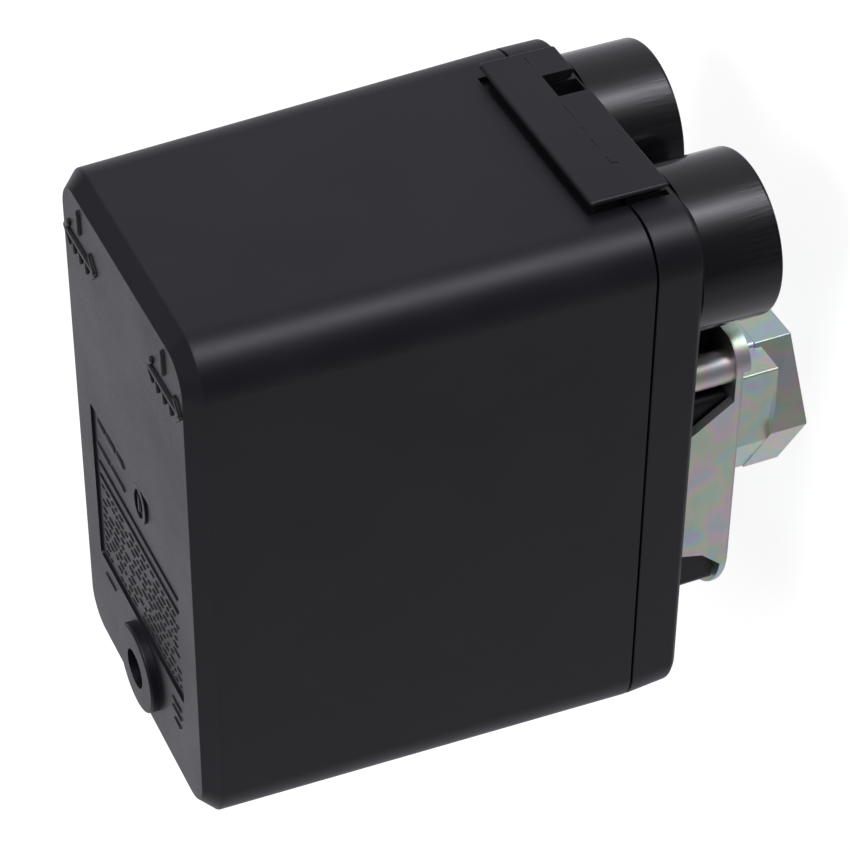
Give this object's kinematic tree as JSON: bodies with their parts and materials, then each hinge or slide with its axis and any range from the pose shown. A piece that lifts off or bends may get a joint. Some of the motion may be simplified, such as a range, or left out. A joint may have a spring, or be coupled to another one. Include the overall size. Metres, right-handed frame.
{
  "type": "pressure switch",
  "caption": "Boxy pneumatic pressure switch: drafted cover on a base, round cable sleeves and a hexagonal pressure port below, with diaphragm, lever, springs and contacts inside.",
  "frame": {"origin": "centre of the bounding box's bottom, level with the end face of the pressure port", "axes": "+Z from the pressure port up to the cover's top face, +Y towards the cable sleeves, +X to the right seen with the sleeves away from the viewer"},
  "size_m": [0.057, 0.0926, 0.1057],
  "materials": {
    "housing_plastic": "fine moulded satin black",
    "sleeve_plastic": "glossy moulded black",
    "seal_rubber": "smooth",
    "zinc_plate": "zinc plated, faintly iridescent",
    "bright_steel": "bright plated",
    "spring_steel": "drawn wire",
    "brass": "stamped and turned brass",
    "phenolic": "dark brown moulded insulation"
  },
  "bodies": {
    "base": {"base": "housing_plastic", "bracket_screw_left": "bright_steel", "bracket_screw_right": "bright_steel", "clamp_ring": "bright_steel", "clamp_screw_1": "bright_steel", "clamp_screw_2": "bright_steel", "clamp_screw_3": "bright_steel", "clamp_screw_4": "bright_steel", "cover_post": "bright_steel", "diaphragm": "seal_rubber", "differential_spring": "spring_steel", "earth_plate": "brass", "fixed_contact_front_1": "brass", "fixed_contact_front_2": "brass", "fixed_contact_front_3": "brass", "fixed_contact_rear_1": "brass", "fixed_contact_rear_2": "brass", "fixed_contact_rear_3": "brass", "flange_plate": "zinc_plate", "flange_screw_1": "bright_steel", "flange_screw_2": "bright_steel", "flange_screw_3": "bright_steel", "flange_screw_4": "bright_steel", "lever_pin": "bright_steel", "mechanism_bracket": "zinc_plate", "port_body": "zinc_plate", "post_screw": "bright_steel", "pressure_cup": "zinc_plate", "range_spring": "spring_steel", "spring_bridge": "zinc_plate", "terminal_block": "phenolic"},
    "cover": {"cover": "housing_plastic"},
    "cover_screw": {"cover_screw": "bright_steel"},
    "left_sleeve": {"cable_sleeve_left": "sleeve_plastic", "gland_seal_left": "seal_rubber"},
    "right_sleeve": {"cable_sleeve_right": "sleeve_plastic", "gland_seal_right": "seal_rubber"},
    "lever": {"main_lever": "bright_steel"},
    "plunger": {"plunger": "brass"},
    "contact_carrier": {"contact_carrier": "phenolic", "contact_bridge_1": "brass", "contact_bridge_2": "brass", "contact_bridge_3": "brass", "contact_spring_1": "spring_steel", "contact_spring_2": "spring_steel", "contact_spring_3": "spring_steel"},
    "range_screw": {"range_screw": "bright_steel"},
    "range_nut": {"range_nut": "zinc_plate"},
    "differential_screw": {"differential_screw": "bright_steel"},
    "differential_nut": {"differential_nut": "zinc_plate"},
    "earth_screw": {"earth_screw": "bright_steel"},
    "terminal_screw_front_1": {"terminal_screw_front_1": "bright_steel"},
    "terminal_screw_front_2": {"terminal_screw_front_2": "bright_steel"},
    "terminal_screw_front_3": {"terminal_screw_front_3": "bright_steel"},
    "terminal_screw_rear_1": {"terminal_screw_rear_1": "bright_steel"},
    "terminal_screw_rear_2": {"terminal_screw_rear_2": "bright_steel"},
    "terminal_screw_rear_3": {"terminal_screw_rear_3": "bright_steel"}
  },
  "joints": [
    {"name": "cover_lift", "type": "slide", "parent": "base", "child": "cover", "axis": [0, 0, 1], "range_m": [0, 0.09]},
    {"name": "cover_screw_turn", "type": "hinge", "parent": "cover", "child": "cover_screw", "pos_m": [0, -0.035, 0.1], "axis": [0, 0, 1], "continuous": true},
    {"name": "left_sleeve_turn", "type": "hinge", "parent": "base", "child": "left_sleeve", "pos_m": [-0.0151, 0.0314, 0.02], "axis": [0, 0, 1], "continuous": true},
    {"name": "right_sleeve_turn", "type": "hinge", "parent": "base", "child": "right_sleeve", "pos_m": [0.0151, 0.0314, 0.02], "axis": [0, 0, 1], "continuous": true},
    {"name": "lever_swing", "type": "hinge", "parent": "base", "child": "lever", "pos_m": [0, -0.0277, 0.0445], "axis": [1, 0, 0], "range_deg": [0, 4.2], "deforming": ["range_spring", "differential_spring"]},
    {"name": "plunger_travel", "type": "slide", "parent": "base", "child": "plunger", "axis": [0, 0, 1], "range_m": [0, 0.0013]},
    {"name": "carrier_travel", "type": "slide", "parent": "base", "child": "contact_carrier", "axis": [0, 0, 1], "range_m": [0, 0.0031], "deforming": ["contact_spring_1", "contact_spring_2", "contact_spring_3"]},
    {"name": "range_screw_turn", "type": "hinge", "parent": "base", "child": "range_screw", "pos_m": [-0.008, -0.009, 0.084], "axis": [0, 0, 1], "range_deg": [-1801, 1801]},
    {"name": "range_nut_travel", "type": "slide", "parent": "base", "child": "range_nut", "axis": [0, 0, 1], "range_m": [-0.0035, 0.0035]},
    {"name": "differential_screw_turn", "type": "hinge", "parent": "base", "child": "differential_screw", "pos_m": [0.009, -0.009, 0.084], "axis": [0, 0, 1], "range_deg": [-1441, 1441]},
    {"name": "differential_nut_travel", "type": "slide", "parent": "base", "child": "differential_nut", "axis": [0, 0, 1], "range_m": [-0.002, 0.002]},
    {"name": "terminal_screw_front_1_turn", "type": "hinge", "parent": "base", "child": "terminal_screw_front_1", "pos_m": [-0.012, 0.0232, 0.062], "axis": [0, 0, 1], "continuous": true},
    {"name": "terminal_screw_front_2_turn", "type": "hinge", "parent": "base", "child": "terminal_screw_front_2", "pos_m": [0, 0.0232, 0.062], "axis": [0, 0, 1], "continuous": true},
    {"name": "terminal_screw_front_3_turn", "type": "hinge", "parent": "base", "child": "terminal_screw_front_3", "pos_m": [0.012, 0.0232, 0.062], "axis": [0, 0, 1], "continuous": true},
    {"name": "terminal_screw_rear_1_turn", "type": "hinge", "parent": "base", "child": "terminal_screw_rear_1", "pos_m": [-0.012, 0.0038, 0.062], "axis": [0, 0, 1], "continuous": true},
    {"name": "terminal_screw_rear_2_turn", "type": "hinge", "parent": "base", "child": "terminal_screw_rear_2", "pos_m": [0, 0.0038, 0.062], "axis": [0, 0, 1], "continuous": true},
    {"name": "terminal_screw_rear_3_turn", "type": "hinge", "parent": "base", "child": "terminal_screw_rear_3", "pos_m": [0.012, 0.0038, 0.062], "axis": [0, 0, 1], "continuous": true},
    {"name": "earth_screw_turn", "type": "hinge", "parent": "base", "child": "earth_screw", "pos_m": [0, 0.036, 0.04], "axis": [0, 0, 1], "continuous": true}
  ],
  "couplings": [
    {"joint": "plunger_travel", "follows": "lever_swing", "m_per_rad": 0.017},
    {"joint": "carrier_travel", "follows": "lever_swing", "m_per_rad": 0.0412},
    {"joint": "range_screw_turn", "follows": "range_nut_travel", "rad_per_m": -8976},
    {"joint": "differential_screw_turn", "follows": "differential_nut_travel", "rad_per_m": -12566}
  ]
}
